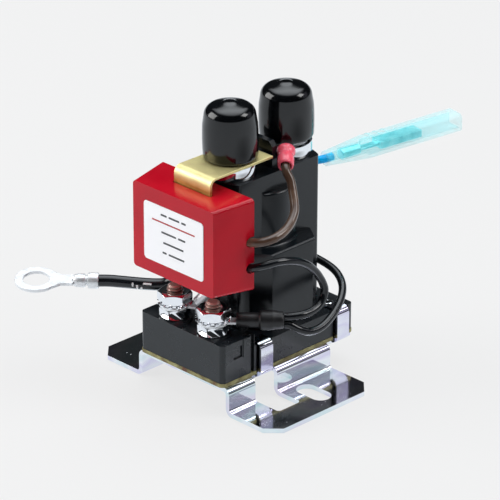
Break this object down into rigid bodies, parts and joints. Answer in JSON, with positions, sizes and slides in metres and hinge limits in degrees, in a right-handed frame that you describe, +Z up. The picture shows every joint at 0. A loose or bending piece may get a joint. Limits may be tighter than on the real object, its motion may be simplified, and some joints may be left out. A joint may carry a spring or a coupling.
{
  "type": "battery isolator relay",
  "caption": "Solenoid relay on a slotted bent bracket with a potted front control module, capped main studs and wired coil terminals.",
  "frame": {"origin": "midway between the two foot slots, on the mounting face", "axes": "+Z up from the mounting face, -Y towards the control module, +X to the right seen from the module"},
  "size_m": [0.0934, 0.1341, 0.0922],
  "materials": {
    "zinc_plate": "clear-passivated zinc plate, bluish, glossy",
    "gasket_card": "olive fibre card",
    "base_plastic": "black moulded phenolic, satin",
    "cover_plastic": "black moulded plastic, satin with a fine grain",
    "bright_zinc": "bright zinc plate",
    "magnet_iron": "plain iron",
    "bobbin_plastic": "natural nylon",
    "winding_copper": "enamelled copper wire",
    "rod_steel": "spring steel",
    "bush_plastic": "phenolic bush",
    "contact_copper": "plated copper",
    "cap_vinyl": "dipped black vinyl, glossy",
    "link_brass": "bent brass strip",
    "case_red": "red moulded plastic, semi-gloss",
    "potting_resin": "cast resin",
    "board_laminate": "glass laminate",
    "label_white": "bare white film",
    "stud_copper": "copper-flashed steel thread",
    "terminal_tin": "tin plate",
    "sleeve_black": "black insulating sleeve",
    "insulator_red": "translucent red vinyl sleeve",
    "lead_brown": "brown insulation, slightly clear",
    "lead_black": "black insulation, glossy",
    "lead_blue": "blue insulation",
    "boot_clear_blue": "clear blue flexible vinyl"
  },
  "bodies": {
    "relay": {"mounting_bracket": "zinc_plate", "base_gasket": "gasket_card", "terminal_base": "base_plastic", "body_cover": "cover_plastic", "base_eyelets": "bright_zinc", "stud_collar_front": "bright_zinc", "stud_collar_rear": "bright_zinc", "main_washers": "bright_zinc", "main_nut_front": "bright_zinc", "main_nut_rear": "bright_zinc", "main_stud_front": "bright_zinc", "main_stud_rear": "bright_zinc", "lower_coil_nuts": "bright_zinc", "upper_coil_nuts": "bright_zinc", "star_washers": "bright_zinc", "yoke_frame": "magnet_iron", "flux_plate": "magnet_iron", "fixed_core": "magnet_iron", "coil_bobbin": "bobbin_plastic", "coil_winding": "winding_copper", "return_spring": "rod_steel", "terminal_cap_front": "cap_vinyl", "terminal_cap_rear": "cap_vinyl", "brass_link": "link_brass", "module_case": "case_red", "module_potting": "potting_resin", "circuit_board": "board_laminate", "module_label": "label_white", "coil_stud_left": "stud_copper", "coil_stud_right": "stud_copper", "coil_ring_left": "terminal_tin", "coil_ring_right": "terminal_tin", "main_ring_terminal": "terminal_tin", "ground_ring_terminal": "terminal_tin", "blade_terminal": "terminal_tin", "crimp_sleeve": "sleeve_black", "red_insulator": "insulator_red", "brown_lead": "lead_brown", "black_lead_inner": "lead_black", "black_lead_outer": "lead_black", "coil_lead_left": "lead_black", "ground_lead": "lead_black", "override_lead": "lead_blue", "connector_boot": "boot_clear_blue"},
    "armature": {"plunger": "magnet_iron", "push_rod": "rod_steel", "contact_bush": "bush_plastic", "contact_disc": "contact_copper", "rod_clip": "magnet_iron"}
  },
  "joints": [
    {"name": "armature_slide", "type": "slide", "parent": "relay", "child": "armature", "axis": [0, 0, 1], "range_m": [0, 0.0021], "stiffness_N_per_m": 400, "springref_m": -0.006, "deforming": ["return_spring"]}
  ]
}
